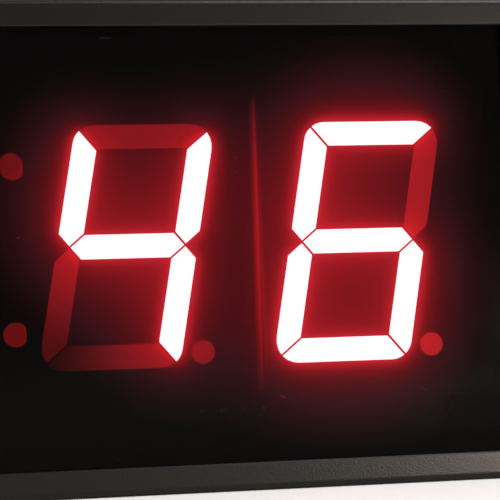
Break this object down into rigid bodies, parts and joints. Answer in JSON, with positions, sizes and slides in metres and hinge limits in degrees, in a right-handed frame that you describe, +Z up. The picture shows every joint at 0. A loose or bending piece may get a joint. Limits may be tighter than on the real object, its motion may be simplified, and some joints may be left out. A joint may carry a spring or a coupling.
{
  "type": "digital display",
  "caption": "Red seven-segment LED display unit: two large digits and a colon behind a smoked red window in a slim-bezel plastic case with a vented back.",
  "frame": {"origin": "on the surface that the case stands on, under the middle of the case", "axes": "+X to the right of the display, +Y from its front to its back, +Z up; the window faces -Y"},
  "size_m": [0.145, 0.034, 0.1146],
  "materials": {
    "bezel_abs": "fine moulded grain",
    "filter_acrylic": "smoked red, polished",
    "housing_abs": "fine moulded grain",
    "zinc_steel": "zinc plated",
    "black_steel": "black oxide",
    "insert_brass": "turned from hexagon bar",
    "module_plastic": "moulded, matt face",
    "lit_epoxy": "diffusing epoxy, lit",
    "unlit_epoxy": "diffusing red epoxy",
    "led_die": "semiconductor",
    "digit_laminate": "glass epoxy laminate",
    "potting_resin": "cast resin",
    "tinned_metal": "tin plated",
    "led_epoxy": "diffused red epoxy",
    "spacer_nylon": "moulded",
    "board_laminate": "solder resist",
    "chip_epoxy": "transfer moulded",
    "resistor_ceramic": "glazed",
    "can_metal": "drawn can",
    "capacitor_sleeve": "shrunk sleeve",
    "terminal_plastic": "moulded"
  },
  "bodies": {
    "root": {"front_bezel": "bezel_abs", "filter_window": "filter_acrylic", "rear_housing": "housing_abs", "case_screws": "zinc_steel", "board_screws": "black_steel", "mounting_inserts": "insert_brass", "left_digit_housing": "module_plastic", "left_segment_a": "unlit_epoxy", "left_segment_b": "lit_epoxy", "left_segment_c": "lit_epoxy", "left_segment_d": "unlit_epoxy", "left_segment_e": "unlit_epoxy", "left_segment_f": "lit_epoxy", "left_segment_g": "lit_epoxy", "left_decimal_point": "unlit_epoxy", "left_led_dice": "led_die", "left_digit_board": "digit_laminate", "left_digit_potting": "potting_resin", "left_digit_pins": "tinned_metal", "right_digit_housing": "module_plastic", "right_segment_a": "lit_epoxy", "right_segment_b": "unlit_epoxy", "right_segment_c": "lit_epoxy", "right_segment_d": "lit_epoxy", "right_segment_e": "lit_epoxy", "right_segment_f": "lit_epoxy", "right_segment_g": "lit_epoxy", "right_decimal_point": "unlit_epoxy", "right_led_dice": "led_die", "right_digit_board": "digit_laminate", "right_digit_potting": "potting_resin", "right_digit_pins": "tinned_metal", "upper_colon_led": "led_epoxy", "lower_colon_led": "led_epoxy", "colon_led_leads": "tinned_metal", "colon_led_spacers": "spacer_nylon", "main_board": "board_laminate", "left_driver_chip": "chip_epoxy", "right_driver_chip": "chip_epoxy", "controller_chip": "chip_epoxy", "chip_leads": "tinned_metal", "segment_resistors": "resistor_ceramic", "crystal": "can_metal", "smoothing_capacitor": "capacitor_sleeve", "capacitor_leads": "tinned_metal", "voltage_regulator": "chip_epoxy", "regulator_tab": "tinned_metal", "terminal_block": "terminal_plastic", "terminal_clamps": "tinned_metal"}
  },
  "joints": []
}
